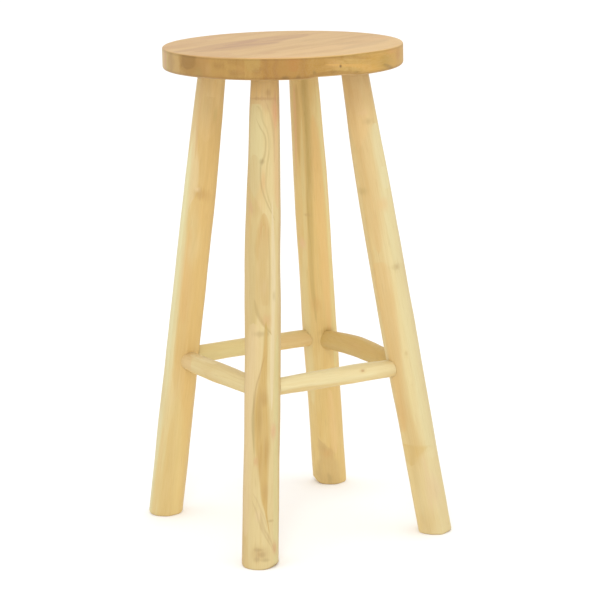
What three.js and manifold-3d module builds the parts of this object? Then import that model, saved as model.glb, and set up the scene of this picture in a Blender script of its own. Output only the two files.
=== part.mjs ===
// A round bar stool in solid teak. A seat of three edge-glued boards sits on four splayed, hand-shaped legs,
// and four round rungs tie the legs together and serve as the footrest. Each leg ends in a round tenon in a
// blind socket under the seat, spread there by a hidden wedge. Each rung has a round tenon at both ends, in
// blind sockets in the legs.
//
// Millimetres, +Z up. The origin is on the floor, under the middle of the stool's outline. -Y is the front.
// In the code below, the Z axis is the seat's own axis, and the last lines move the stool to its origin.

import * as THREE from "three";
import { mergeVertices } from "three/addons/utils/BufferGeometryUtils.js";
import Module from "manifold-3d";

const wasm = await Module();
wasm.setup();

// Driving dimensions.
const SEAT_TOP = 650;
const SEAT_RADIUS = 157;
const SEAT_THICKNESS = 28;
const RUNG_HEIGHT = 221;
const GRAIN_ANGLE = THREE.MathUtils.degToRad(20); // of the seat boards, from +X towards +Y
const GLUE_GAP = 0.3; // room for glue round every joint

// Seat. The seams between its boards run along the grain, at these distances behind its middle.
const SEAT_UNDERSIDE = SEAT_TOP - SEAT_THICKNESS;
const BACK_SEAM = 44;
const FRONT_SEAM = -60;
const TOP_EDGE_RADIUS = 2.5;
const LOWER_EDGE_RADIUS = 4;
const SEAT_SEGMENTS = 64;
const EDGE_STEPS = 3;

// Joint between leg and seat.
const LEG_TENON_RADIUS = 14;
const LEG_TENON_LENGTH = 20;
const LEG_TENON_ROOT = 10; // how far the tenon's cylinder starts below the shoulder, inside the leg
const SOCKET_CLEARANCE = 0.5; // left at the bottom of each socket
const WEDGE_LENGTH = 14;
const WEDGE_WIDTH = 20;
const WEDGE_THICK_END = 4.5;
const WEDGE_THIN_END = 1.2;

// Joint between rung and leg. The two tenons in a leg are level and square to each other, so they stop short
// of its middle. Both distances are from the leg's centre line.
const RUNG_TENON_RADIUS = 7.5;
const RUNG_TENON_TIP = 9;
const RUNG_TENON_ROOT = 34; // where the tenon's cylinder starts, well inside the rung

// Legs. atSeat and atFloor are the distances from the seat's axis to the leg's centre line, at the seat's
// underside and on the floor. swing turns the foot sideways round that axis, in degrees, and bow curves the
// leg inwards. neck, belly and foot are diameters.
const LEGS = {
  front_left: {
    azimuth: -133.8, swing: 0.3,
    atSeat: 97, atFloor: 185.4, bow: 0.5,
    neck: 36.2, belly: 45, foot: 47.2,
  },
  front_right: {
    azimuth: -45.3, swing: 0,
    atSeat: 94.7, atFloor: 196.6, bow: 2.2,
    neck: 35, belly: 46.2, foot: 45.8,
  },
  back_right: {
    azimuth: 44.8, swing: -0.5,
    atSeat: 98.7, atFloor: 197, bow: 1.5,
    neck: 37, belly: 47.8, foot: 46.8,
  },
  back_left: {
    azimuth: 134.8, swing: -2.8,
    atSeat: 95.9, atFloor: 185.7, bow: 0.6,
    neck: 36.4, belly: 44.8, foot: 47.4,
  },
};
const LEG_SIDES = 20;
const LEG_RINGS = 15;
const BELLY_AT = 0.45; // share of the leg's length, from the seat down
const FOOT_CHAMFER = 2;
const OVALITY = 0.015;
const HEWN_DEPTH = 0.35; // of the shallow flats left by the drawknife
const HEWN_FLATS = 7;
const HEWN_TWIST = 0.8; // radians that the flats turn from foot to seat

// Rungs: from one leg to the next, their heights above or below RUNG_HEIGHT at each end, diameters at the
// ends and in the middle, and how far the middle arches up.
const RUNGS = {
  front: { from: "front_left", to: "front_right", rise: [4, 3], end: 22, middle: 24.4, arch: 0.5 },
  right: { from: "front_right", to: "back_right", rise: [-4, -4], end: 25, middle: 29, arch: 9 },
  back: { from: "back_right", to: "back_left", rise: [-0.7, 1.3], end: 23.2, middle: 24.2, arch: 1.6 },
  left: { from: "back_left", to: "front_left", rise: [0, 4], end: 23.4, middle: 27, arch: -1 },
};
const RUNG_SIDES = 16;
const RUNG_RINGS = 10;

const X = new THREE.Vector3(1, 0, 0);
const Y = new THREE.Vector3(0, 1, 0);
const Z = new THREE.Vector3(0, 0, 1);

const teak = (color, roughness) => new THREE.MeshStandardMaterial({ color, roughness, metalness: 0 });
const SEAT_TEAK = teak("#d9b184", 0.55);
const LEG_TEAK = teak("#e2c68a", 0.6);
const WEDGE_TEAK = teak("#a87848", 0.7);

// Solids.

/** A closed geometry as a solid that can be cut and joined. */
function solidOf(geometry) {
  const bare = geometry.clone();
  bare.deleteAttribute("normal");
  bare.deleteAttribute("uv");
  const merged = mergeVertices(bare);
  const mesh = new wasm.Mesh({
    numProp: 3,
    vertProperties: Float32Array.from(merged.attributes.position.array),
    triVerts: Uint32Array.from(merged.index.array),
  });
  return new wasm.Manifold(mesh);
}

/** The named mesh of a solid, with its own origin at anchor. */
function meshOf(name, solid, material, anchor) {
  const { vertProperties, triVerts } = solid.getMesh();
  const geometry = new THREE.BufferGeometry();
  geometry.setAttribute("position", new THREE.BufferAttribute(vertProperties, 3));
  geometry.setIndex(new THREE.BufferAttribute(triVerts, 1));
  geometry.translate(-anchor.x, -anchor.y, -anchor.z);
  geometry.computeVertexNormals();
  const mesh = new THREE.Mesh(geometry, material);
  mesh.name = name;
  mesh.position.copy(anchor);
  return mesh;
}

/**
 * A bar whose rings stand at centreAt(u) for u from 0 to 1, each in the plane of across and its square
 * direction, with the radius radiusAt(u, angle). up is roughly the way the bar runs.
 */
function bar(centreAt, radiusAt, across, up, sides, rings) {
  const square = new THREE.Vector3().crossVectors(across, up).normalize();
  const geometry = new THREE.CylinderGeometry(1, 1, 1, sides, rings);
  const positions = geometry.attributes.position;
  const local = new THREE.Vector3();
  for (let i = 0; i < positions.count; i++) {
    local.fromBufferAttribute(positions, i);
    const u = local.y + 0.5;
    const angle = Math.atan2(local.z, local.x);
    const radius = radiusAt(u, angle) * Math.hypot(local.x, local.z);
    const point = centreAt(u)
      .addScaledVector(across, radius * Math.cos(angle))
      .addScaledVector(square, radius * Math.sin(angle));
    positions.setXYZ(i, point.x, point.y, point.z);
  }
  return solidOf(geometry);
}

/** A plain round peg from one point towards another. */
function peg(from, to, radius, sides) {
  const along = new THREE.Vector3().subVectors(to, from);
  const geometry = new THREE.CylinderGeometry(radius, radius, along.length(), sides);
  geometry.applyQuaternion(new THREE.Quaternion().setFromUnitVectors(Y, along.clone().normalize()));
  const middle = new THREE.Vector3().addVectors(from, to).multiplyScalar(0.5);
  return solidOf(geometry.translate(middle.x, middle.y, middle.z));
}

// Legs.

/** The point at a distance from the stool's axis, in a direction given in degrees. */
function around(distance, degrees, height) {
  const angle = THREE.MathUtils.degToRad(degrees);
  return new THREE.Vector3(distance * Math.cos(angle), distance * Math.sin(angle), height);
}

/** Where a leg's centre line is, from u = 0 on the floor to u = 1 at the seat's underside. */
function legCentre(leg, u) {
  const foot = around(leg.atFloor, leg.azimuth + leg.swing, 0);
  const top = around(leg.atSeat, leg.azimuth, SEAT_UNDERSIDE);
  const inwards = around(-leg.bow * Math.sin(Math.PI * u), leg.azimuth, 0);
  return foot.lerp(top, u).add(inwards);
}

/** A leg's plain radius: a slim neck that fills out to the belly, then runs on to the foot. */
function legProfile(leg, u) {
  const down = 1 - u;
  if (down < BELLY_AT) {
    const short = 1 - down / BELLY_AT;
    return (leg.belly - (leg.belly - leg.neck) * short * short) / 2;
  }
  return THREE.MathUtils.lerp(leg.belly, leg.foot, (down - BELLY_AT) / (1 - BELLY_AT)) / 2;
}

/** A leg's radius with its ovality and flats, which turn slowly along it. */
function legRadius(leg, u, angle) {
  const turn = THREE.MathUtils.degToRad(leg.azimuth) + HEWN_TWIST * u;
  const oval = OVALITY * Math.cos(2 * (angle - turn));
  return legProfile(leg, u) * (1 + oval) + HEWN_DEPTH * Math.cos(HEWN_FLATS * angle + 3 * turn);
}

/** A leg without its joints, grown by a margin. Its lowest two rings make the chamfer round the foot. */
function legBody(leg, margin) {
  const top = 1 - GLUE_GAP / SEAT_UNDERSIDE;
  const chamferTop = FOOT_CHAMFER / SEAT_UNDERSIDE;
  const step = 1 / LEG_RINGS;
  const isSole = (u) => u < step / 2;
  const heightOf = (u) => (isSole(u) ? 0 : THREE.MathUtils.mapLinear(u, step, 1, chamferTop, top));
  const centreAt = (u) => legCentre(leg, heightOf(u));
  const radiusAt = (u, angle) => {
    const chamfer = isSole(u) ? FOOT_CHAMFER : 0;
    return legRadius(leg, heightOf(u), angle) - chamfer + margin;
  };
  return bar(centreAt, radiusAt, X, Z, LEG_SIDES, LEG_RINGS);
}

/** The line of a leg's tenon: it starts inside the leg and runs straight on into the seat. */
function tenonLine(leg) {
  const shoulder = legCentre(leg, 1);
  const along = new THREE.Vector3().subVectors(shoulder, legCentre(leg, 0.9)).normalize();
  return (distance) => shoulder.clone().addScaledVector(along, distance);
}

/** The wedge in a leg's tenon, thick end up, grown by a margin and as wide as asked. */
function wedgeSolid(leg, margin, width) {
  const thin = WEDGE_THIN_END / 2 + margin;
  const thick = WEDGE_THICK_END / 2 + margin;
  const outline = new THREE.Shape([
    new THREE.Vector2(-thin, -WEDGE_LENGTH - margin),
    new THREE.Vector2(thin, -WEDGE_LENGTH - margin),
    new THREE.Vector2(thick, margin),
    new THREE.Vector2(-thick, margin),
  ]);
  const geometry = new THREE.ExtrudeGeometry(outline, { depth: width, bevelEnabled: false });
  geometry.translate(0, 0, -width / 2);
  // It spreads the tenon along the seat's grain, which can't split the board.
  const line = tenonLine(leg);
  const along = line(1).sub(line(0));
  const grain = X.clone().applyAxisAngle(Z, GRAIN_ANGLE);
  const wide = new THREE.Vector3().crossVectors(grain, along).normalize();
  const spread = new THREE.Vector3().crossVectors(along, wide).normalize();
  const placed = new THREE.Matrix4().makeBasis(spread, along, wide).setPosition(line(LEG_TENON_LENGTH));
  return solidOf(geometry.applyMatrix4(placed));
}

// Rungs.

/** The points on the two legs' centre lines that a rung runs between. */
function rungEnds(rung) {
  return [rung.from, rung.to].map((name, i) => {
    const height = RUNG_HEIGHT + rung.rise[i];
    return legCentre(LEGS[name], height / SEAT_UNDERSIDE);
  });
}

/** The straight tenons at both ends of a rung, grown by a margin. */
function rungTenons(rung, margin) {
  const [start, end] = rungEnds(rung);
  const along = new THREE.Vector3().subVectors(end, start).normalize();
  const tenon = (centre, way) => {
    const tip = centre.clone().addScaledVector(way, RUNG_TENON_TIP - margin);
    const root = centre.clone().addScaledVector(way, RUNG_TENON_ROOT);
    return peg(tip, root, RUNG_TENON_RADIUS + margin, RUNG_SIDES);
  };
  return [tenon(start, along), tenon(end, along.clone().negate())];
}

/** A rung that runs right to the centre lines of its legs. */
function rungBody(rung) {
  const [start, end] = rungEnds(rung);
  const along = new THREE.Vector3().subVectors(end, start).normalize();
  const level = new THREE.Vector3().crossVectors(along, Z).normalize();
  const centreAt = (u) => start.clone().lerp(end, u).addScaledVector(Z, rung.arch * Math.sin(Math.PI * u));
  const radiusAt = (u) => THREE.MathUtils.lerp(rung.end, rung.middle, Math.sin(Math.PI * u)) / 2;
  return bar(centreAt, radiusAt, level, along, RUNG_SIDES, RUNG_RINGS);
}

// Seat.

/** The whole round seat, before it is divided into boards. */
function seatDisc() {
  const lower = LOWER_EDGE_RADIUS;
  const upper = TOP_EDGE_RADIUS;
  const profile = new THREE.Path();
  profile.moveTo(0, 0);
  profile.lineTo(SEAT_RADIUS - lower, 0);
  profile.absarc(SEAT_RADIUS - lower, lower, lower, -Math.PI / 2, 0, false);
  profile.absarc(SEAT_RADIUS - upper, SEAT_THICKNESS - upper, upper, 0, Math.PI / 2, false);
  profile.lineTo(0, SEAT_THICKNESS);
  const geometry = new THREE.LatheGeometry(profile.getPoints(EDGE_STEPS), SEAT_SEGMENTS);
  geometry.rotateX(Math.PI / 2).translate(0, 0, SEAT_UNDERSIDE);
  return solidOf(geometry);
}

/** A seat board: the disc between two lines along the grain, without the sockets of the legs. */
function seatBoard(disc, sockets, from, to) {
  const slab = new THREE.BoxGeometry(2 * SEAT_RADIUS + 10, to - from, 2 * SEAT_THICKNESS);
  slab.translate(0, (from + to) / 2, SEAT_UNDERSIDE + SEAT_THICKNESS / 2).rotateZ(GRAIN_ANGLE);
  return sockets.reduce((board, socket) => board.subtract(socket), disc.intersect(solidOf(slab)));
}

// Assembly.

const stool = new THREE.Group();

const disc = seatDisc();
const legSockets = Object.values(LEGS).map((leg) => {
  const line = tenonLine(leg);
  const bottom = line(LEG_TENON_LENGTH + SOCKET_CLEARANCE);
  return peg(line(-LEG_TENON_ROOT), bottom, LEG_TENON_RADIUS + GLUE_GAP, LEG_SIDES);
});
const halfGap = GLUE_GAP / 2;
const boards = {
  front: [-SEAT_RADIUS - 1, FRONT_SEAM - halfGap],
  middle: [FRONT_SEAM + halfGap, BACK_SEAM - halfGap],
  back: [BACK_SEAM + halfGap, SEAT_RADIUS + 1],
};
for (const [name, [from, to]] of Object.entries(boards)) {
  const anchor = new THREE.Vector3(0, (from + to) / 2, SEAT_UNDERSIDE).applyAxisAngle(Z, GRAIN_ANGLE);
  stool.add(meshOf(`seat_board_${name}`, seatBoard(disc, legSockets, from, to), SEAT_TEAK, anchor));
}

const rungSockets = Object.values(RUNGS).flatMap((rung) => rungTenons(rung, GLUE_GAP));
for (const [name, leg] of Object.entries(LEGS)) {
  const line = tenonLine(leg);
  const tenonEnd = line(LEG_TENON_LENGTH);
  const tenon = peg(line(-LEG_TENON_ROOT), tenonEnd, LEG_TENON_RADIUS, LEG_SIDES);
  const kerf = wedgeSolid(leg, GLUE_GAP, 2 * LEG_TENON_RADIUS + 10);
  const joined = legBody(leg, 0).add(tenon).subtract(kerf);
  const solid = rungSockets.reduce((cut, socket) => cut.subtract(socket), joined);
  stool.add(meshOf(`leg_${name}`, solid, LEG_TEAK, legCentre(leg, 0)));
  stool.add(meshOf(`tenon_wedge_${name}`, wedgeSolid(leg, 0, WEDGE_WIDTH), WEDGE_TEAK, tenonEnd));
}

for (const [name, rung] of Object.entries(RUNGS)) {
  const room = [rung.from, rung.to].map((leg) => legBody(LEGS[leg], GLUE_GAP));
  const scribed = room.reduce((body, leg) => body.subtract(leg), rungBody(rung));
  const solid = rungTenons(rung, 0).reduce((body, tenon) => body.add(tenon), scribed);
  const [start, end] = rungEnds(rung);
  stool.add(meshOf(`rung_${name}`, solid, LEG_TEAK, start.lerp(end, 0.5)));
}

// The legs splay a little unevenly, so the outline's middle isn't quite the seat's.
const outline = new THREE.Box3().setFromObject(stool, true);
const middle = outline.getCenter(new THREE.Vector3());
stool.position.set(-middle.x, -middle.y, -outline.min.z);

export default stool;
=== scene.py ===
import math

import bmesh
import bpy
import numpy as np
from mathutils import Matrix, Vector
from mathutils.bvhtree import BVHTree


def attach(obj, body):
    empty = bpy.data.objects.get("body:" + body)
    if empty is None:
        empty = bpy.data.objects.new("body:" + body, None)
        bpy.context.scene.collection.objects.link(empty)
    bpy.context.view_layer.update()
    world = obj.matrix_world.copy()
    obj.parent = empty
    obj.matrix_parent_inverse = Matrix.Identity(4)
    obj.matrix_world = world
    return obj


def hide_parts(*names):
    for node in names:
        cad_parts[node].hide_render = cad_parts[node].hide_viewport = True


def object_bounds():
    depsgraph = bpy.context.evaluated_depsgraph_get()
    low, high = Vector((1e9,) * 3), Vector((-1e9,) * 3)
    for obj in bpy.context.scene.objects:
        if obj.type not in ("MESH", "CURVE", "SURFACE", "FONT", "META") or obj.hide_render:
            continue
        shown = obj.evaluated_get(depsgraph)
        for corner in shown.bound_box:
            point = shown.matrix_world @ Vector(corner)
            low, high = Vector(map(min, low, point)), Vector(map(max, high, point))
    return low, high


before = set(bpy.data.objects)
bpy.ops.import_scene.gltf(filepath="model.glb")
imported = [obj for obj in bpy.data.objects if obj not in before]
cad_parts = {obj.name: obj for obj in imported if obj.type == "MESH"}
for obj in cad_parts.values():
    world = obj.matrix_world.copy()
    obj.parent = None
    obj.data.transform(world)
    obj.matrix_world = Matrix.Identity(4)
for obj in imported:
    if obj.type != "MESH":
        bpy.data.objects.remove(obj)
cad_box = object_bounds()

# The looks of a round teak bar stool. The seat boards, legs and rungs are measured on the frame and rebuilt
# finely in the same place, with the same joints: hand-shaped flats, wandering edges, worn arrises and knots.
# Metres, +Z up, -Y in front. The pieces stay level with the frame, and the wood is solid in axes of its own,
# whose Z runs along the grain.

MM = 0.001
GLUE_GAP = 0.3 * MM  # as in the frame's joints
SEAM_GAP = 0.04 * MM  # the boards of the seat are glued tight, so their seams hardly show
LEG_NAMES = ("front_left", "front_right", "back_right", "back_left")
RUNG_LEGS = {
    "front": ("front_left", "front_right"),
    "right": ("front_right", "back_right"),
    "back": ("back_right", "back_left"),
    "left": ("back_left", "front_left"),
}
BOARD_NAMES = ("front", "middle", "back")

LEG_COLUMNS = 112
LEG_ROWS = 260
RUNG_COLUMNS = 80
RUNG_ROWS = 110
SEAT_COLUMNS = 288
PEG_SIDES = 64
PEG_ROOT = 10 * MM  # a tenon's peg starts this far inside the leg
RUNG_PEG = 25 * MM  # from the tip of a rung's tenon to well inside the rung
SOCKET_SPARE = 0.5 * MM  # a socket in the seat is this much deeper than its tenon is long
SHARP_EDGE = 38  # degrees


# ---------------------------------------------------------------- measuring the frame


def vertices_of(node):
    """A frame node's vertices, one row each."""
    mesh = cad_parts[node].data
    flat = np.empty(3 * len(mesh.vertices))
    mesh.vertices.foreach_get("co", flat)
    return flat.reshape(-1, 3)


def unit(vector):
    return vector / np.linalg.norm(vector)


def middle_of(points):
    """The middle of the box round some points."""
    return (points.min(0) + points.max(0)) / 2


def furthest_from(line_start, way, points):
    """How far the furthest of some points lies from a line."""
    return np.linalg.norm(np.cross(points - line_start, way), axis=1).max()


def turns(count):
    """So many angles, evenly spaced round a full turn."""
    return np.arange(count) * math.tau / count


def wrapped(angle):
    """An angle brought to within half a turn of 0, either way."""
    return np.mod(angle + math.pi, math.tau) - math.pi


class Bar:
    """
    A nearly round bar of the frame. It is cut into slices that lie along first and second, from start to
    end, and each slice's radius is a smooth function of the place along the bar and the turn round it.
    """

    REACH = 0.07  # rays start this far outside the axis
    STATIONS = 36
    TURNS = 48
    DEGREE = 5
    WAVES = 2
    OUTLIER = 0.7 * MM  # more than the bar's own unevenness, and far less than a socket's mouth is deep

    def __init__(self, node, start, end, first, second, measured):
        self.start, self.end = start, end
        self.length = float(np.linalg.norm(end - start))
        self.first, self.second = first, second
        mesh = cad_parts[node].data
        faces = [tuple(p.vertices) for p in mesh.polygons]
        tree = BVHTree.FromPolygons([v.co for v in mesh.vertices], faces)
        along, turn = np.meshgrid(np.linspace(*measured, self.STATIONS), turns(self.TURNS))
        along, turn = along.ravel(), turn.ravel()
        found = np.array([self._probe(tree, u, a) for u, a in zip(along, turn)])
        basis = self._basis(along, turn)
        kept = found > 0
        for _ in range(4):
            self.fit = np.linalg.lstsq(basis[kept], found[kept], rcond=None)[0]
            kept = np.abs(found - basis @ self.fit) < self.OUTLIER

    def centre(self, along):
        return self.start + np.multiply.outer(along, self.end - self.start)

    def direction(self, turn):
        return np.multiply.outer(np.cos(turn), self.first) + np.multiply.outer(np.sin(turn), self.second)

    def radius(self, along, turn):
        along, turn = np.broadcast_arrays(along, turn)
        return (self._basis(along.ravel(), turn.ravel()) @ self.fit).reshape(along.shape)

    def _probe(self, tree, along, turn):
        centre, way = self.centre(along), self.direction(turn)
        hit = tree.ray_cast(Vector(centre + self.REACH * way), Vector(-way), self.REACH)
        return self.REACH - hit[3] if hit[0] else 0.0

    def _basis(self, along, turn):
        lengthwise = np.polynomial.chebyshev.chebvander(2 * along - 1, self.DEGREE)
        round_it = [np.ones_like(turn)]
        for wave in range(1, self.WAVES + 1):
            round_it += [np.cos(wave * turn), np.sin(wave * turn)]
        return np.einsum("ni,nj->nij", lengthwise, np.array(round_it).T).reshape(len(turn), -1)


X, Y, Z = np.eye(3)

seat_vertices = np.concatenate([vertices_of(f"seat_board_{b}") for b in BOARD_NAMES])
seat_low, seat_high = seat_vertices.min(0), seat_vertices.max(0)
seat_centre = middle_of(seat_vertices)
seat_radius = (seat_high[0] - seat_low[0]) / 2
seat_top, seat_underside = seat_high[2], seat_low[2]


def measure_leg(name):
    """A leg's body, from the floor to its shoulder, and its tenon's line and radius."""
    points = vertices_of(f"leg_{name}")
    sole = points[points[:, 2] < 0.1 * MM].mean(0)
    shoulder_height = seat_underside - GLUE_GAP
    ring = points[np.abs(points[:, 2] - shoulder_height) < 0.05 * MM]
    shoulder = middle_of(ring)
    bar = Bar(f"leg_{name}", sole, shoulder, X, Y, measured=(0.012, 0.99))
    tenon = points[points[:, 2] > seat_underside + 2 * MM]
    bar.tenon_way = unit(middle_of(tenon) - shoulder)
    bar.tenon_radius = furthest_from(shoulder, bar.tenon_way, tenon)
    bar.tenon_length = ((tenon - shoulder) @ bar.tenon_way).max()
    return bar


def measure_rung(name):
    """A rung's body, from the tip of one tenon to the tip of the other, and its tenons' radius."""
    points = vertices_of(f"rung_{name}")
    axis = int(np.argmax(points.max(0) - points.min(0)))
    tips = []
    for sign in (1, -1):
        reach = (sign * points[:, axis]).max()
        tips.append(middle_of(points[sign * points[:, axis] > reach - MM]))
    start_leg = legs[RUNG_LEGS[name][0]]
    height = tips[0][2] / start_leg.end[2]
    tips.sort(key=lambda tip: np.linalg.norm(tip - start_leg.centre(height)))
    start, end = tips
    way = unit(end - start)
    second = unit(np.cross(way, Z))
    first = np.cross(second, way)
    bar = Bar(f"rung_{name}", start, end, first, second, measured=(0.14, 0.86))
    near_tip = points[(points - start) @ way < 2 * MM]
    bar.tenon_radius = furthest_from(start, way, near_tip)
    return bar


legs = {name: measure_leg(name) for name in LEG_NAMES}
rungs = {name: measure_rung(name) for name in RUNG_LEGS}


# ---------------------------------------------------------------- meshes


def add_object(name, data):
    made = bpy.data.objects.new(name, data)
    bpy.context.scene.collection.objects.link(made)
    return made


def piece_of(name, vertices, faces, origin=None):
    """An object level with the frame. The vertices are given in the frame's axes."""
    origin = vertices.mean(0) if origin is None else origin
    mesh = bpy.data.meshes.new(name)
    mesh.from_pydata((vertices - origin).tolist(), [], faces)
    mesh.update()
    piece = add_object(name, mesh)
    piece.location = Vector(origin)
    return piece


def grain_axes(grain, face_up):
    """The turn from the frame's axes to a piece's own, whose Z runs along the grain and X towards face_up."""
    z = unit(grain)
    y = unit(np.cross(z, face_up))
    return Matrix([list(np.cross(y, z)), list(y), list(z)])


def skin(rows, columns):
    """The faces of a grid that closes on itself round its columns, with a flat cap at both ends."""
    grid = np.arange(rows * columns).reshape(rows, columns)
    after = np.roll(grid, -1, axis=1)
    sides = np.stack([grid[:-1], after[:-1], after[1:], grid[1:]], axis=-1).reshape(-1, 4).tolist()
    return sides + [grid[0, ::-1].tolist(), grid[-1].tolist()]


def peg(start, end, radius):
    """A plain round tool for cutting or adding a joint."""
    way = unit(end - start)
    across = unit(np.cross(way, X if abs(way[0]) < 0.8 else Y))
    beside = np.cross(way, across)
    turn = turns(PEG_SIDES)
    ring = radius * (np.multiply.outer(np.cos(turn), across) + np.multiply.outer(np.sin(turn), beside))
    return piece_of("tool", np.concatenate([start + ring, end + ring]), skin(2, PEG_SIDES))


def combine(piece, tool, operation):
    """Cuts the tool out of the piece or adds it, and removes the tool."""
    modifier = piece.modifiers.new(operation, "BOOLEAN")
    modifier.operation = operation
    modifier.solver = "MANIFOLD"
    modifier.object = tool
    bpy.context.view_layer.update()
    graph = bpy.context.evaluated_depsgraph_get()
    combined = bpy.data.meshes.new_from_object(piece.evaluated_get(graph))
    piece.modifiers.clear()
    bare = piece.data
    piece.data = combined
    bpy.data.meshes.remove(bare)
    combined.name = piece.name
    spent = tool.data
    bpy.data.objects.remove(tool)
    bpy.data.meshes.remove(spent)


def smooth(piece):
    """Shades a finished piece smoothly, without the vertices that the joints left halfway along its edges."""
    grid = bmesh.new()
    grid.from_mesh(piece.data)
    spare = [vertex for vertex in grid.verts if len(vertex.link_edges) == 2]
    bmesh.ops.dissolve_verts(grid, verts=spare)
    grid.to_mesh(piece.data)
    grid.free()
    piece.data.polygons.foreach_set("use_smooth", [True] * len(piece.data.polygons))
    piece.data.set_sharp_from_angle(angle=math.radians(SHARP_EDGE))
    piece.data.update()


ROUGHNESS = 0.6  # how much of one wave's size the next and shorter one has


def wander(draw, *places, waves=5):
    """A smooth random field of about -1 to 1 over places, each measured in its own wavelengths."""
    total = 0
    for octave in range(waves):
        size = ROUGHNESS**octave
        phase = draw.uniform(0, math.tau)
        for place in places:
            phase = phase + math.tau * place * draw.uniform(0.7, 1.3) * (1 + 0.6 * octave)
        total = total + size * np.sin(phase)
    return total * (1 - ROUGHNESS)


def flats(draw, along, turn, count, drift, blades=46):
    """
    The section left by a drawknife, as a share of the radius: a rounded polygon whose sides drift round
    the bar and lie deeper or shallower along it. It averages 0 round each slice.
    """
    total = 0
    for i in range(count):
        facing = (i + draw.uniform(-0.22, 0.22)) * math.tau / count
        facing = facing + drift * wander(draw, along, waves=3)
        depth = 1 + 0.012 * wander(draw, 2.5 * along, waves=3)
        total = total + (np.clip(np.cos(turn - facing), 0, 1) / depth) ** blades
    section = total ** (-1 / blades)
    return section - section.mean(axis=-1, keepdims=True)


def knot_swell(bar, along, turn, knots):
    """How far the wood stands out round each knot, which dips again at its middle."""
    total = np.zeros(np.broadcast(along, turn).shape)
    for knot in knots:
        off_along = (along - knot["along"]) * bar.length
        off_round = wrapped(turn - knot["turn"]) * bar.radius(knot["along"], knot["turn"])
        away = (off_along / (1.8 * knot["size"])) ** 2 + (off_round / (1.3 * knot["size"])) ** 2
        total += knot["swell"] * (np.exp(-away) - 0.8 * np.exp(-6 * away))
    return total


# ---------------------------------------------------------------- what each piece is like


def knot_at(along, out, size, swell=0.5, depth=0.6):
    """A knot's place, its size and how far the wood swells round it in millimetres, and its depth of tone."""
    return {"along": along, "out": out, "size": size * MM, "swell": swell * MM, "depth": depth}


# Places on a leg: along is 0 on the floor and 1 at the seat, and out is the turn in degrees from the side
# that faces away from the seat's middle, counted anticlockwise from above.
LEG_KNOTS = {
    "front_left": [
        knot_at(0.476, 4, 3.6, swell=0.3, depth=0.05),
        knot_at(0.027, 8, 4, depth=0.2),
        knot_at(0.62, -150, 4.5),
    ],
    "front_right": [
        knot_at(0.885, -58, 3, depth=0.1),
        knot_at(0.578, -47, 3, depth=0.2),
        knot_at(0.395, -68, 2.5, depth=0.2),
        knot_at(0.3, 60, 4),
    ],
    "back_right": [
        knot_at(0.095, 182, 4, depth=0.15),
        knot_at(0.03, 190, 2.5, depth=0.15),
        knot_at(0.56, 30, 5),
    ],
    "back_left": [
        knot_at(0.73, 116, 4.5, depth=0.1),
        knot_at(0.3, -80, 5),
    ],
}
# Places on a rung: along runs from its first leg to its second, and out is counted from the top.
RUNG_KNOTS = {
    "front": [knot_at(0.684, 60, 2.3, swell=0.1)],
    "right": [knot_at(0.2, -60, 2.5, depth=0.1)],
    "back": [knot_at(0.55, 100, 2.5)],
    "left": [knot_at(0.4, 110, 2.5, depth=0.1)],
}


def outward(bar):
    """The turn at which a leg faces away from the seat's middle."""
    away = bar.start - seat_centre
    return math.atan2(away[1], away[0])


def placed(knots, zero):
    return [{**knot, "turn": zero + math.radians(knot["out"])} for knot in knots]


# ---------------------------------------------------------------- legs

FOOT_ARRIS = 1.3 * MM
ARRIS_UNEVEN = 0.35  # as a share of the arris
# Where a foot's arris is cut back further: the middle of the cut and its width in degrees, and its depth.
FOOT_CUTS = {
    "front_left": (74, 28, 6 * MM),
    "front_right": (-8, 34, 2.5 * MM),
    "back_right": (112, 34, 7 * MM),
    "back_left": (30, 30, 2.5 * MM),
}
FOOT_ROWS = 14
FOOT_WORKED = 8 * MM  # the rows bunch up over this much of the foot
LEG_FLATS = 9
LEG_FLAT_DEPTH = 0.5  # as a share of a polygon's full depth
LEG_UNEVEN = 0.3 * MM
LEG_SWAY = 0.35 * MM
WEDGE_PAST = 8 * MM  # a wedge's room runs out past both sides of the tenon


def leg_surface(name, margin):
    """The points of a leg's body. Rows bunch up at the foot, where the arris is rounded over."""
    bar = legs[name]
    draw = np.random.default_rng(100 + LEG_NAMES.index(name))
    foot = FOOT_WORKED / bar.length * (1 - np.cos(np.linspace(0, math.pi / 2, FOOT_ROWS)))
    along = np.concatenate([foot, np.linspace(foot[-1], 1, LEG_ROWS - FOOT_ROWS + 1)[1:]])[:, None]
    turn = turns(LEG_COLUMNS)[None, :]
    radius = bar.radius(along, turn)
    radius = radius * (1 + LEG_FLAT_DEPTH * flats(draw, along, turn, LEG_FLATS, drift=0.35))
    radius += LEG_UNEVEN * wander(draw, 4 * along, np.cos(turn) * 0.5)
    radius += knot_swell(bar, along, turn, placed(LEG_KNOTS[name], outward(bar)))
    middle, width, depth = FOOT_CUTS[name]
    from_cut = np.degrees(wrapped(turn - outward(bar))) - middle
    from_cut = np.mod(from_cut + 180, 360) - 180
    arris = FOOT_ARRIS * (1 + ARRIS_UNEVEN * wander(draw, turn / math.tau, waves=3))
    arris = arris + depth * np.exp(-((from_cut / width) ** 2))
    up = np.clip(along * bar.length / arris, 0, 1)
    radius -= arris * 0.8 * (1 - up) ** 1.4
    sway = [LEG_SWAY * wander(draw, 2.2 * along, waves=3) * np.sin(math.pi * along) for _ in range(2)]
    points = bar.centre(along) + (radius + margin)[..., None] * bar.direction(turn)
    points += sway[0][..., None] * X + sway[1][..., None] * Y
    return np.clip(points, *np.array(cad_box))


def leg_body(name, piece_name, margin=0.0):
    points = leg_surface(name, margin).reshape(-1, 3)
    return piece_of(piece_name, points, skin(LEG_ROWS, LEG_COLUMNS), origin=legs[name].start)


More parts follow.
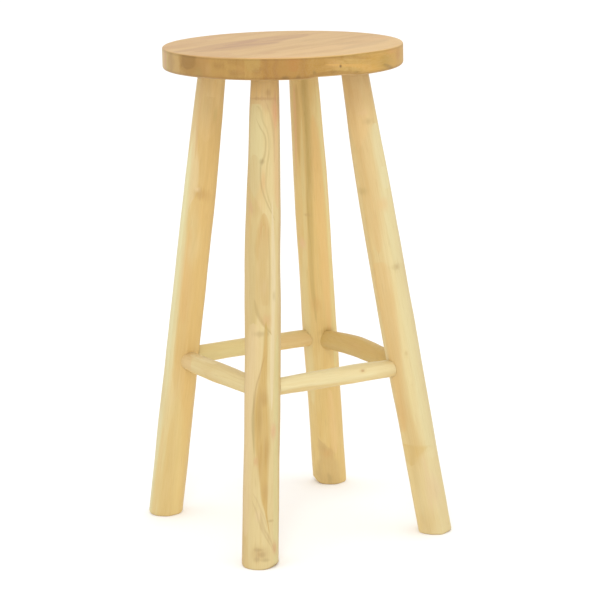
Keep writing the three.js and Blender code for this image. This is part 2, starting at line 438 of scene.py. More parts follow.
def leg_axes(bar):
    away = np.array([math.cos(outward(bar)), math.sin(outward(bar)), 0])
    return grain_axes(bar.end - bar.start, away)


def make_leg(name):
    bar = legs[name]
    leg = leg_body(name, f"leg_{name}_wood")
    root = bar.end - PEG_ROOT * bar.tenon_way
    tenon_end = bar.end + bar.tenon_length * bar.tenon_way
    combine(leg, peg(root, tenon_end, bar.tenon_radius), "UNION")
    combine(leg, grown_wedge(name), "DIFFERENCE")
    for rung_name, ends in RUNG_LEGS.items():
        if name in ends:
            combine(leg, rung_tenon(rung_name, ends.index(name), GLUE_GAP), "DIFFERENCE")
    smooth(leg)
    return leg


def grown_wedge(name):
    """A tool that cuts the room for a leg's wedge: the wedge's own faces, each moved out by the glue gap."""
    node = f"tenon_wedge_{name}"
    corners = np.unique(vertices_of(node).round(7), axis=0)
    middle = corners.mean(0)
    # The largest face shows which way the wedge is thin. Its corners move out along three axes.
    largest = max(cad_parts[node].data.polygons, key=lambda face: face.area)
    way = legs[name].tenon_way
    wide = unit(np.cross(way, np.array(largest.normal)))
    spread = np.cross(wide, way)
    offset = corners - middle
    local = np.stack([offset @ spread, offset @ wide, offset @ way], axis=1)
    local += np.sign(local) * [GLUE_GAP, WEDGE_PAST, GLUE_GAP]
    thin_end, thick_end = local[local[:, 2] < 0], local[local[:, 2] > 0]
    ordered = []
    for end in (thin_end, thick_end):
        ordered += sorted(end.tolist(), key=lambda p: math.atan2(p[1], p[0]))
    points = middle + np.array(ordered) @ np.array([spread, wide, way])
    return piece_of("tool", points, skin(2, 4))


# ---------------------------------------------------------------- rungs

SCRIBE_GAP = 0.35 * MM  # between a rung's shoulder and its leg
RUNG_FLATS = 7
RUNG_FLAT_DEPTH = 0.35
RUNG_UNEVEN = 0.35 * MM
RUNG_ENDS = 0.06  # a rung's radius stays the same over this share of its length at both ends


def rung_tenon(name, end, margin):
    """A rung's tenon at its first or second end, from its tip to well inside the rung."""
    bar = rungs[name]
    tip, way = (bar.start, unit(bar.end - bar.start)) if end == 0 else (bar.end, unit(bar.start - bar.end))
    return peg(tip - margin * way, tip + RUNG_PEG * way, bar.tenon_radius + margin)


def make_rung(name):
    bar = rungs[name]
    draw = np.random.default_rng(200 + list(RUNG_LEGS).index(name))
    along = np.linspace(0, 1, RUNG_ROWS)[:, None]
    turn = turns(RUNG_COLUMNS)[None, :]
    inside = np.clip(along, RUNG_ENDS, 1 - RUNG_ENDS)
    radius = bar.radius(inside, turn)
    radius = radius * (1 + RUNG_FLAT_DEPTH * flats(draw, along, turn, RUNG_FLATS, drift=0.5, blades=34))
    radius += RUNG_UNEVEN * wander(draw, 2 * along, np.cos(turn) * 0.5)
    radius += knot_swell(bar, along, turn, placed(RUNG_KNOTS[name], 0))
    points = bar.centre(along) + radius[..., None] * bar.direction(turn)
    faces = skin(RUNG_ROWS, RUNG_COLUMNS)
    rung = piece_of(f"rung_{name}_wood", points.reshape(-1, 3), faces, origin=bar.start)
    for end, leg_name in enumerate(RUNG_LEGS[name]):
        combine(rung, leg_body(leg_name, "tool", margin=SCRIBE_GAP), "DIFFERENCE")
        combine(rung, rung_tenon(name, end, 0.0), "UNION")
    smooth(rung)
    return rung


# ---------------------------------------------------------------- seat

TOP_EDGE = 2.4 * MM
LOWER_EDGE = 3.6 * MM
RIM_UNEVEN = 0.15 * MM
TOP_SAG = 0.12 * MM
FACE_RINGS = 26  # on the seat's top, and on its underside
EDGE_ROWS = 9
RIM_ROWS = 4
# The lower edge is hollowed a little at one place. Its middle and half width are degrees round the rim.
HOLLOW_AT, HOLLOW_WIDTH, HOLLOW_DEPTH = 116, 11, 2.2 * MM
HOLLOW_FROM = 0.84  # the hollow starts at this share of the underside's radius


def seam_direction():
    """The level direction across the seat boards: the largest upright face lies in a seam."""
    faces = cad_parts["seat_board_middle"].data.polygons
    upright = [face for face in faces if abs(face.normal.z) < 0.01]
    normal = np.array(max(upright, key=lambda face: face.area).normal)
    return normal * np.sign(normal[1])


across_boards = seam_direction()
along_boards = np.cross(across_boards, Z)


def seat_disc():
    """The whole seat: a profile turned round the axis, with its edges and faces gently uneven."""
    draw = np.random.default_rng(300)
    turn = turns(SEAT_COLUMNS)
    rim = seat_radius + RIM_UNEVEN * sum(
        draw.uniform(-1, 1) * np.cos(k * turn + draw.uniform(0, math.tau)) / k for k in range(2, 9)
    )
    upper = TOP_EDGE * (1 + 0.25 * np.cos(3 * turn + 1.0) + 0.15 * np.cos(7 * turn))
    lower = LOWER_EDGE * (1 + 0.2 * np.cos(2 * turn) + 0.12 * np.cos(5 * turn + 2.0))
    rim_turn = wrapped(turn - math.atan2(along_boards[1], along_boards[0]))
    lift = HOLLOW_DEPTH * np.exp(-(((np.degrees(-rim_turn) - HOLLOW_AT) / HOLLOW_WIDTH) ** 6))
    flat = np.linspace(0.02, 1, FACE_RINGS)
    bend = np.linspace(0, math.pi / 2, EDGE_ROWS)
    rows = []
    for share in flat:
        hollow = max(0, (share - HOLLOW_FROM) / (1 - HOLLOW_FROM)) ** 2
        rows.append((share * (rim - lower), seat_underside + lift * hollow))
    for angle in bend[1:]:
        rise = lift + lower - lower * math.cos(angle)
        rows.append((rim - lower + lower * math.sin(angle), seat_underside + rise))
    for share in np.linspace(0, 1, RIM_ROWS + 2)[1:-1]:
        low, high = seat_underside + lower + lift, seat_top - upper
        rows.append((rim + 0 * turn, low + share * (high - low)))
    for angle in bend:
        rows.append((rim - upper + upper * math.cos(angle), seat_top - upper + upper * math.sin(angle)))
    for share in flat[::-1][1:]:
        rows.append((share * (rim - upper), seat_top + 0 * turn))
    distance, height = np.array([row[0] for row in rows]), np.array([row[1] for row in rows])
    x, y = distance * np.cos(turn), distance * np.sin(turn)
    sag = TOP_SAG * (1 + wander(draw, 8 * x, 8 * y, waves=4)) * (distance / seat_radius < 0.97)
    height = height - np.where(height > seat_top - 0.01 * MM, sag, 0)
    points = np.stack([seat_centre[0] + x, seat_centre[1] + y, height], axis=-1)
    return points.reshape(-1, 3), skin(len(rows), SEAT_COLUMNS)


def slab(low, high):
    """A tool that keeps the part of the seat between two lines along its grain."""
    reach = 2 * seat_radius
    thick = seat_top - seat_underside
    corners = []
    for height in (seat_underside - thick, seat_top + thick):
        for along, across in ((-reach, low), (reach, low), (reach, high), (-reach, high)):
            corner = seat_centre + along * along_boards + across * across_boards
            corners.append([corner[0], corner[1], height])
    return piece_of("tool", np.array(corners), skin(2, 4))


def make_board(name):
    node = f"seat_board_{name}"
    spread = (vertices_of(node) - seat_centre) @ across_boards
    closer = (GLUE_GAP - SEAM_GAP) / 2
    low = spread.min() - (2 * closer if name == "front" else closer)
    high = spread.max() + (2 * closer if name == "back" else closer)
    points, faces = seat_disc()
    board = piece_of(f"{node}_wood", points, faces, seat_centre + (low + high) / 2 * across_boards)
    combine(board, slab(low, high), "INTERSECT")
    for bar in legs.values():
        root = bar.end - PEG_ROOT * bar.tenon_way
        socket_end = bar.end + (bar.tenon_length + SOCKET_SPARE) * bar.tenon_way
        combine(board, peg(root, socket_end, bar.tenon_radius + GLUE_GAP), "DIFFERENCE")
    smooth(board)
    return board


# ---------------------------------------------------------------- materials


class Field:
    """A number that varies over the surface. Its arithmetic adds math nodes to the material."""

    def __init__(self, graph, socket):
        self.graph, self.socket = graph, socket

    def math(self, operation, *others):
        inputs = dict(enumerate([self, *others]))
        return self.graph.field("ShaderNodeMath", inputs, operation=operation)

    def __add__(self, other):
        return self.math("ADD", other)

    def __sub__(self, other):
        return self.math("SUBTRACT", other)

    def __mul__(self, other):
        return self.math("MULTIPLY", other)

    def __truediv__(self, other):
        return self.math("DIVIDE", other)

    def between(self, low, high, to_low=0.0, to_high=1.0):
        """A smooth step: to_low at low and below, and to_high at high and above."""
        inputs = {0: self, 1: low, 2: high, 3: to_low, 4: to_high}
        return self.graph.field("ShaderNodeMapRange", inputs, interpolation_type="SMOOTHSTEP", clamp=True)


class Graph:
    """A material's node tree, built by formulas. Values are Fields, sockets, numbers or tuples."""

    def __init__(self, name):
        self.material = bpy.data.materials.new(name)
        self.material.use_nodes = True
        self.tree = self.material.node_tree
        self.tree.nodes.clear()

    def node(self, kind, inputs=None, output=0, **settings):
        made = self.tree.nodes.new(kind)
        for key, value in settings.items():
            setattr(made, key, value)
        for key, value in (inputs or {}).items():
            value = getattr(value, "socket", value)
            if isinstance(value, bpy.types.NodeSocket):
                self.tree.links.new(value, made.inputs[key])
            else:
                made.inputs[key].default_value = value
        return made.outputs[output] if made.outputs else None

    def field(self, *args, **kwargs):
        return Field(self, self.node(*args, **kwargs))

    def split(self, vector):
        parts = self.tree.nodes.new("ShaderNodeSeparateXYZ")
        self.tree.links.new(getattr(vector, "socket", vector), parts.inputs[0])
        return [Field(self, parts.outputs[i]) for i in range(3)]

    def stretched(self, place, scale, shift):
        """The place with each axis scaled and shifted, to draw a texture along the grain."""
        return self.node("ShaderNodeMapping", {"Vector": place, "Location": shift, "Scale": scale})

    def noise(self, place, scale=1.0, detail=2.0, rough=0.5):
        inputs = {"Vector": place, "Scale": scale, "Detail": detail, "Roughness": rough}
        return self.field("ShaderNodeTexNoise", inputs)

    def mix(self, share, a, b, kind="MIX"):
        inputs = {0: share, 6: a, 7: b}
        return self.node("ShaderNodeMix", inputs, output=2, data_type="RGBA", blend_type=kind)

    def paint(self, colour, share, tone):
        """The colour with a share of a tone, given as the six hex digits that it looks like."""
        return self.mix(share, colour, seen(tone))

    def shade(self, colour, share, factors):
        """The colour with a share of its red, green and blue multiplied."""
        return self.mix(share, colour, (*factors, 1), kind="MULTIPLY")


SPOT_SOFT = 0.8  # as a share of a spot's size
KNOT_STRETCH = 1.5
# How much brighter the studio shows red, green and blue than they are on a surface.
STUDIO_LIGHT = (1.38, 1.46, 1.66)


def seen(text):
    """The colour that looks like these six hex digits in the studio's light, in the renderer's values."""
    parts = [int(text[i : i + 2], 16) / 255 for i in (0, 2, 4)]
    linear = [p / 12.92 if p <= 0.04045 else ((p + 0.055) / 1.055) ** 2.4 for p in parts]
    return tuple(p / light for p, light in zip(linear, STUDIO_LIGHT)) + (1.0,)


class Chart:
    """
    Places on a piece's surface. Along runs from 0 to 1 over the length, and across is measured in steps,
    which are degrees round a leg, a rung or the seat's rim, and millimetres on the seat's top.
    """

    TURN = 360

    def __init__(self, graph, along, across, length, step, where=None):
        self.graph, self.along, self.across = graph, along, across
        self.length, self.step, self.where = length, step, where

    def curve(self, points, low, high):
        """A smooth function of the place along the piece, through a few points."""
        node = self.graph.tree.nodes.new("ShaderNodeFloatCurve")
        line = node.mapping.curves[0]
        points = sorted(points)
        while len(line.points) < len(points):
            line.points.new(0.5, 0.5)
        for point, (along, value) in zip(line.points, points):
            point.location = (along, (value - low) / (high - low))
        node.mapping.update()
        self.graph.tree.links.new(self.along.socket, node.inputs["Value"])
        return Field(self.graph, node.outputs["Value"]) * (high - low) + low

    def off(self, centre):
        """The distance across from a centre line, in steps."""
        return (self.across - centre).math("WRAP", self.TURN / 2, -self.TURN / 2)

    def paint(self, colour, share, tone):
        share = share if self.where is None else share * self.where
        return self.graph.paint(colour, share, tone)

    def streak(self, colour, waver, path, tone, depth, soft=0.5, sway=2.5, taper=0.04):
        """A band or line of another tone along a path of (along, across, half width) points."""
        path = sorted(path)
        centre = self.curve([(a, c) for a, c, _ in path], -self.TURN, self.TURN)
        ends = [(path[0][0] - taper, 0), (path[-1][0] + taper, 0)]
        inside = [point for point in ends if 0 <= point[0] <= 1]
        half = self.curve([(a, w) for a, _, w in path] + inside, 0, 180)
        off = self.off(centre) + waver * sway
        away = off.math("ABSOLUTE") / half.math("MAXIMUM", 0.01)
        return self.paint(colour, away.between(1 - soft, 1 + soft, depth, 0), tone)

    def away(self, along, across, size, stretch):
        """How far off a place is, as a share of the size. The size is half a width across the piece."""
        wide = self.off(across) * (self.step / size)
        tall = (self.along - along) * (self.length / size / stretch)
        return (wide * wide + tall * tall).math("SQRT")

    def spot(self, colour, ripple, along, across, size, stretch, tone, depth):
        """A rounded patch with a soft, uneven edge. Its size is in millimetres."""
        away = self.away(along, across, size * MM, stretch) * (ripple * 2.2 + 1.0)
        return self.paint(colour, away.between(1 - SPOT_SOFT, 1 + SPOT_SOFT, depth, 0), tone)


# What red, green and blue are multiplied by on some parts of a piece: painted shade under the seat and on the
# rim's lower and upper edges, and painted light on the legs' inner sides and the rungs' undersides. Then the
# colour of the finest fibres.
UNDER_SEAT_SHADE = (0.92, 0.8, 0.66)
INNER_SIDE_PAINTED_LIGHT = (1.14, 1.15, 1.14)
LOW_EDGE_SHADE = (0.7, 0.65, 0.52)
HIGH_EDGE_SHADE = (0.8, 0.79, 0.68)
FIBRE_COLOUR = (1, 0.92, 0.75, 1)


def wood(name, look):
    """
    Solid teak. Growth rings lie round a pith beside the piece, pale sapwood lies outside the heartwood, and
    pores, fibres and bands follow the grain. Then come the streaks, lines and knots of the one piece.
    """
    g = Graph(name)
    coordinates = g.tree.nodes.new("ShaderNodeTexCoord")
    turn_to_grain = {"Rotation": look["axes"].to_euler()}
    place = g.node("ShaderNodeMapping", {"Vector": coordinates.outputs["Object"], **turn_to_grain})
    facing = g.split(g.node("ShaderNodeMapping", {"Vector": coordinates.outputs["Normal"], **turn_to_grain}))
    seed = look["seed"]
    shift = (1.7 * seed, 2.3 * seed, 3.1 * seed)
    x, y, z = g.split(place)

    # The grain sways by a few millimetres, over stretches much longer along the piece than across it. Each
    # texture has a scale for the two directions across the grain and a smaller one along it.
    slow = g.stretched(place, (24, 24, look["sway_along"]), shift)
    sway = g.node("ShaderNodeTexNoise", {"Vector": slow, "Detail": 1.5, "Roughness": 0.4}, output=1)
    sway_x, sway_y, sway_z = g.split(sway)
    side, distance, lean = look["pith"]
    pith_x, pith_y = distance * math.cos(math.radians(side)), distance * math.sin(math.radians(side))
    nearer = z * lean + 1.0
    off_x = x - nearer * pith_x + (sway_x - 0.5) * look["sway"]
    off_y = y - nearer * pith_y + (sway_y - 0.5) * look["sway"]
    from_pith = (off_x * off_x + off_y * off_y).math("SQRT")

    broad = g.noise(g.stretched(place, (60, 60, look["broad_along"]), shift), detail=1.5, rough=0.45)
    cloud = g.noise(g.stretched(place, (30, 30, 9), shift), detail=2)
    narrow = g.noise(g.stretched(place, (230, 230, 4.5), shift), detail=2, rough=0.55)
    fibre = g.noise(g.stretched(place, (1500, 1500, 26), shift), detail=2, rough=0.6)
    pore = g.noise(g.stretched(place, (1150, 1150, 42), shift), detail=1)

    # Rings: a thin dark line at the start of each year, then paler wood that slowly darkens.
    age = from_pith / look["ring"] + sway_z * look["uneven"]
    year = age.math("FLOOR")
    season = age - year
    line = season.between(0.0, 0.14, 1, 0).math("MAXIMUM", season.between(0.8, 1.0, 0, 1))
    each_year = g.field("ShaderNodeTexWhiteNoise", {"W": year + seed}, noise_dimensions="1D")
    line = line * (each_year * 0.8 + 0.2) * cloud.between(0.35, 0.65, 0.25, 1)
    pores = pore.between(0.6, 0.72) * (line * 0.7 + 0.3)

    heart_edge = from_pith + (broad - 0.5) * look["heart_wave"]
    heart = heart_edge.between(look["heart"] - look["heart_soft"], look["heart"] + look["heart_soft"], 1, 0)
    colour = g.mix(heart, seen(look["sap"]), seen(look["heartwood"]))
    for share, tone in (
        (broad.between(0.45, 0.7) * look["bands"], "band"),
        (cloud.between(0.5, 0.75) * look["clouds"], "sap"),
        (cloud.between(0.5, 0.3) * look["clouds"], "band"),
        (each_year * look["years"], "band"),
        (narrow.between(0.45, 0.75) * look["narrow"], "band"),
        (line * look["lines"], "line"),
    ):
        colour = g.paint(colour, share, look[tone])

    # What only this piece has, on its own surface.
    waver = sway_x - 0.5 + (narrow - 0.5) * 0.5
    ripple = (cloud - 0.5) * 0.9 + (narrow - 0.5) * 0.8
    charts = {}
    if "length" in look:
        turn = y.math("ARCTAN2", x) * (180 / math.pi)
        charts["round"] = Chart(g, z / look["length"], turn, look["length"], look["thick"] * math.pi / 360)
    if "middle" in look:
        up, forward, right = x - look["middle"][0], y - look["middle"][1], z - look["middle"][2]
        upright = facing[0].math("ABSOLUTE").between(0.25, 0.8, 1, 0)
        level = facing[0].between(0.3, 0.9)
        thick = seat_top - seat_underside
        rim_turn = forward.math("ARCTAN2", right) * (180 / math.pi)
        width = 2 * seat_radius
        charts["rim"] = Chart(g, up / thick + 0.5, rim_turn, thick, width * math.pi / 360, where=upright)
        charts["top"] = Chart(g, right / width + 0.5, forward / MM, width, MM, where=level)
        # The rim's upright faces are painted darker: partly the rim's own tone with its end grain, and partly
        # painted shade, because they turn sideways, away from the light on the top.
        colour = g.paint(colour, upright * look["rim_tone_and_shade"], look["rim"])
        cut_across = facing[2].math("ABSOLUTE").between(0.35, 0.8)
        upright_lines = g.noise(g.stretched(place, (45, 420, 420), shift), detail=3, rough=0.6)
        figure = narrow * (cut_across * -1.0 + 1.0) + upright_lines * cut_across
        for low, high, tone in ((0.48, 0.7, "rim_dark"), (0.5, 0.32, "rim_pale")):
            colour = g.paint(colour, figure.between(low, high) * upright * look["figure"], look[tone])
    for chart_name, chart in charts.items():
        for mark in look.get(f"{chart_name}_marks", []):
            if isinstance(mark[0], list):
                colour = chart.streak(colour, waver, *mark)
            else:
                colour = chart.spot(colour, ripple, *mark)
    for knot in look.get("knots", []):
        colour = knot_on(colour, charts["round"], ripple, knot, look)

    if "length" in look:
        # Painted shade: the top of each leg, just under the seat, is multiplied darker and browner.
        seat_shade_mask = charts["round"].along.between(0.85, 0.99)
        colour = g.shade(colour, seat_shade_mask * look["seat_shade_depth"], UNDER_SEAT_SHADE)
        # Painted light: the side of a leg that faces the seat's middle, and the underside of a rung, are
        # multiplied lighter.
        inner_side_light = charts["round"].off(180).math("ABSOLUTE").between(35, 75, look["inner_side_light"], 0)
        colour = g.shade(colour, inner_side_light, INNER_SIDE_PAINTED_LIGHT)
    if "middle" in look:
        # Painted shade: the lowest fifth of the rim is darker, with the lower arris and the underside. So is
        # the upper part of the rim, up to the top arris.
        low_edge = charts["rim"].along.between(0.02, 0.2, 1, 0)
        colour = g.shade(colour, low_edge * 0.9, LOW_EDGE_SHADE)
        high_edge = charts["rim"].along.between(0.84, 0.93) * upright
        colour = g.shade(colour, high_edge * 0.8, HIGH_EDGE_SHADE)
    colour = g.shade(colour, 1.0, look["tint"])
    colour = g.paint(colour, pores * look["pores"], look["pore"])
    colour = g.mix(fibre.between(0.3, 0.7) * 0.05, colour, FIBRE_COLOUR)
    end_grain = facing[2].math("ABSOLUTE").between(0.35, 0.95)
    colour = g.mix(end_grain * look["end_depth"], colour, seen(look["end"]), kind="MULTIPLY")

    relief = fibre * 0.25 - pores * 0.9 - line * 0.35 + narrow * 0.3
    bump = g.node("ShaderNodeBump", {"Strength": 0.35, "Distance": 0.3 * MM, "Height": relief})
    rough = (fibre * 0.12 + pores * 0.1) + look["rough"]
    shader = g.node(
        "ShaderNodeBsdfPrincipled",
        {"Base Color": colour, "Roughness": rough, "Normal": bump, "IOR": 1.45, "Specular IOR Level": 0.35},
    )
    g.node("ShaderNodeOutputMaterial", {"Surface": shader})
    return g.material


def knot_on(colour, chart, ripple, knot, look):
    """A small knot, smudged along the grain, with a few rings of grain flowing round it."""
    away = chart.away(knot["along"], knot["out"], knot["size"], KNOT_STRETCH) * (ripple * 1.6 + 1.0)
    round_it = (away * 5.0).math("SINE").between(0.1, 1.0) * away.between(1.0, 3.2, 0.5, 0)
    core = away.between(0.1, 1.5, 1, 0)
    colour = chart.paint(colour, round_it * knot["depth"], look["band"])
    return chart.paint(colour, core * knot["depth"], look["knot"])


# How the wood of a piece looks. The pith is at a turn in degrees and a distance from the piece's origin, and
# leans. Tones are the six hex digits they look like, lengths are in metres, the values that end in _along are
# the scales of textures, and the rest are shares.
LEG_LOOK = {
    "pith": (180, 0.04, 0), "sway": 0.008, "sway_along": 3.0, "ring": 5 * MM, "uneven": 1.6, "thick": 0.045,
    "broad_along": 1.6, "heart_soft": 0.004, "heart_wave": 0.012, "sap": "e9d7a5", "band": "d9b473",
    "bands": 0.35, "clouds": 0.35, "years": 0.07, "narrow": 0.16, "lines": 0.2, "line": "bd9657",
    "pore": "b08a4c", "pores": 0.3, "knot": "a67c43", "end": "dcb384", "end_depth": 0.45, "rough": 0.5,
    "seat_shade_depth": 0.4, "inner_side_light": 1, "tint": (1, 1, 1),
}
# The marks of one piece, on one chart of its surface. A streak is a list of (along, across, half width)
# points, and then its tone and depth, and perhaps its softness, sway and taper. A spot is its place along and
# across, its size in millimetres, its stretch along the piece, its tone and its depth.
FRONT_LEFT_LEG_MARKS = [
    # The first band, at the top of the leg and across its front half, is painted shade from the seat: a more
    # orange tone with a sharp lower edge. Then the pale growth below the seat, with the lines of the grain
    # flowing round it.
    ([(0.953, 15, 90), (1, 15, 90)], "efcb8c", 0.7, 0.5, 2.5, 0.006),
    (0.942, 2, 28, 0.3, "d9bd8e", 0.6),
    (0.952, -6, 20, 0.07, "b0895a", 0.4),
    (0.963, 28, 2.8, 1.2, "b58d58", 0.4),
    ([(0.78, -24, 22), (0.84, -20, 34), (0.915, -22, 34)], "e0d5a6", 0.7, 0.4, 6, 0.03),
    ([(0.76, -26, 22), (0.8, -26, 24)], "d6bd88", 0.5),
    ([(0.77, 66, 13), (0.84, 62, 11), (0.9, 60, 9)], "e8c292", 0.6, 0.8),
    (0.925, 58, 5, 2.6, "e6ae88", 0.6),
    (0.788, 13, 3, 3.4, "e2bf8a", 0.7),
    ([(0.84, 31, 2.5), (0.873, 31, 3.5), (0.89, 23, 3.5), (0.91, 6, 3.5), (0.928, -1, 4), (0.94, -44, 4)],
     "c3b07c", 0.4, 0.9, 4, 0.02),
    ([(0.725, 41, 2.5), (0.752, 19, 3), (0.777, 5, 3.2), (0.805, 1, 3.2), (0.823, 4, 4), (0.832, 13, 4),
      (0.85, 19, 3.2), (0.875, 17, 3.2), (0.893, -1, 3), (0.9, -8, 2)], "b49e6a", 0.45, 0.9, 4, 0.02),
    (0.826, 7, 3.4, 0.9, "a08c5a", 0.5),
    ([(0.745, 35, 2.5), (0.775, 23, 3.5), (0.8, 23, 3.5), (0.83, 27, 2)], "bfa86e", 0.4, 0.9, 4, 0.02),
    ([(0.84, 54, 3), (0.87, 53, 4), (0.91, 43, 4), (0.935, 27, 3)], "c8a87a", 0.35, 0.9, 4, 0.02),
    (0.735, -38, 5, 1.4, "dcb08a", 0.4),
    (0.728, -19, 6, 1, "d6a77e", 0.4),
    # The darker wood of the middle, and the pale stripe beside it.
    ([(0.5, -22, 14), (0.58, -16, 27), (0.66, -12, 34), (0.71, -6, 24), (0.74, -20, 12)],
     "dac288", 0.75, 0.3),
    ([(0.54, 22, 10), (0.62, 12, 16), (0.643, 9, 23), (0.676, 14, 23), (0.703, 17, 15), (0.715, 16, 9)],
     "d2ae6c", 0.6, 0.4, 8, 0.008),
    (0.675, 14, 4.5, 3, "d2a66e", 0.5),
    (0.572, 17, 4.5, 2.4, "e4c8a8", 0.6),
    ([(0.36, 48, 6), (0.5, 50, 8), (0.58, 52, 9), (0.68, 48, 6), (0.72, 46, 3)], "efe0bc", 0.85),
    (0.555, 54, 2.6, 2.6, "c2ad7c", 0.4),
    ([(0.55, 36, 2), (0.62, 36, 3), (0.66, 34, 2)], "bfa26a", 0.5, 0.8),
    ([(0.483, 38, 5), (0.502, 23, 14), (0.537, 13, 24), (0.58, 9, 24), (0.64, 12, 16), (0.69, 14, 5)],
     "d9bf86", 0.7, 0.5, 8, 0.008),
    ([(0.487, 31, 4), (0.494, 22, 5), (0.506, 8, 6), (0.52, -3, 6), (0.537, -10, 4)],
     "b7a067", 0.45, 0.9, 5, 0.012),
    (0.505, 28, 6, 1.4, "deb080", 0.45),
    ([(0.1, -46, 16), (0.25, -46, 20), (0.46, -24, 24)], "ecd4a9", 0.7, 0.8),
    ([(0.02, 70, 10), (0.2, 68, 10), (0.44, 72, 10)], "e4dba6", 0.7),
    (0.478, 9, 7, 0.4, "b19968", 0.4),
    (0.479, 30, 2.4, 1.4, "a88f5a", 0.4),
    # The long golden streak, mottled, with a dark line down its left side.
    ([(0.43, 24, 6), (0.465, 25, 8)], "cdb068", 0.8, 0.5, 5),
    ([(0.1, 35, 3), (0.14, 26, 10), (0.2, 20, 17), (0.26, 16, 25), (0.31, 12, 26), (0.36, 14, 18),
      (0.41, 20, 10), (0.45, 24, 6)], "d6b570", 0.9, 0.35, 8),
    (0.345, 20, 6, 1.8, "ba9452", 0.45),
    (0.305, 6, 4.6, 4.5, "ba9852", 0.5),
    (0.24, 30, 4.6, 5, "bd9754", 0.45),
    (0.22, 10, 4, 5, "c8a262", 0.35),
    (0.155, 27, 4.4, 3, "c49c60", 0.38),
    (0.218, -6, 3.2, 2, "deaa7c", 0.5),
    (0.28, 56, 5.5, 2, "eab892", 0.6),
    ([(0.262, -14, 4), (0.3, -17, 6), (0.325, -16, 4)], "bba66c", 0.6, 0.8),
    ([(0.33, -13, 2.2), (0.35, -10, 2.6), (0.37, -6, 2.6), (0.395, 5, 2.4), (0.415, 14, 2)],
     "b8945a", 0.5, 0.9, 4, 0.02),
    # The swirl of the grain above the foot.
    (0.108, 6, 4.5, 1.6, "ebd2aa", 0.6),
    ([(0.05, 42, 2), (0.06, 33, 3), (0.075, 20, 3.2), (0.095, 8, 3.2), (0.11, 0, 3), (0.125, -8, 2)],
     "c6aa7c", 0.4, 0.9, 8, 0.02),
    ([(0.05, 50, 3), (0.068, 36, 4), (0.08, 24, 5), (0.095, 18, 4)], "c0a274", 0.4, 0.9, 8, 0.02),
    ([(0.1, 26, 3), (0.115, 17, 3.4), (0.135, 2, 3)], "ccb086", 0.35, 0.9, 8, 0.02),
    (0.096, 47, 5, 0.4, "b0945f", 0.4),
    (0.03, 14, 12, 0.8, "ccac78", 0.45),
    (0.037, 8, 6, 0.35, "a8905e", 0.4),
    (0.027, 20, 4, 1, "a8905e", 0.4),
    (0.016, 30, 6, 0.4, "a8905e", 0.35),
    (0.017, 4, 4, 0.6, "ae9664", 0.35),
    (0.04, 62, 4, 2.4, "dba882", 0.6),
]
FRONT_RIGHT_LEG_MARKS = [
    ([(0.25, -128, 20), (0.35, -118, 24), (0.45, -108, 30), (0.57, -106, 30)],
     "e6c186", 0.55, 0.4, 8, 0.025),
    ([(0.67, -96, 24), (0.78, -90, 34), (0.9, -92, 34)], "e2ba7c", 0.5, 0.8, 8, 0.06),
    ([(0.87, -100, 40), (0.93, -84, 84), (1, -80, 90)], "ecc88e", 0.6, 0.6, 8),
    ([(0.2, -34, 24), (0.5, -30, 28), (0.75, -26, 24)], "ebdfb2", 0.6, 0.8),
    ([(0.78, -28, 22), (0.84, -28, 24)], "ebe0b6", 0.55),
    ([(0.28, -78, 6), (0.5, -70, 6), (0.6, -66, 5)], "ecdaa6", 0.5, 0.8),
    (0.712, -56, 10, 1, "eabc84", 0.4),
    ([(0.162, -116, 15), (0.17, -112, 19), (0.175, -106, 26), (0.186, -91, 41), (0.192, -98, 34)],
     "dcba76", 0.6, 0.9, 6, 0.01),
    ([(0, -58, 62), (0.06, -56, 58), (0.15, -50, 36)], "ebd8a8", 0.7, 0.6, 8),
    (0.03, -110, 12, 1, "dfc084", 0.5),
    (0.11, -96, 10, 1.6, "e6cc94", 0.5),
    (0.886, -55, 9, 0.4, "c8ae78", 0.35),
    (0.905, -72, 9, 0.35, "ecc998", 0.6),
    (0.578, -50, 7, 0.45, "c2a874", 0.35),
    (0.745, -128, 8, 0.6, "b79c5e", 0.35),
    (0.27, -124, 9, 2, "dba860", 0.25),
    (0.1, -50, 9, 1.6, "e8c8a6", 0.4),
]
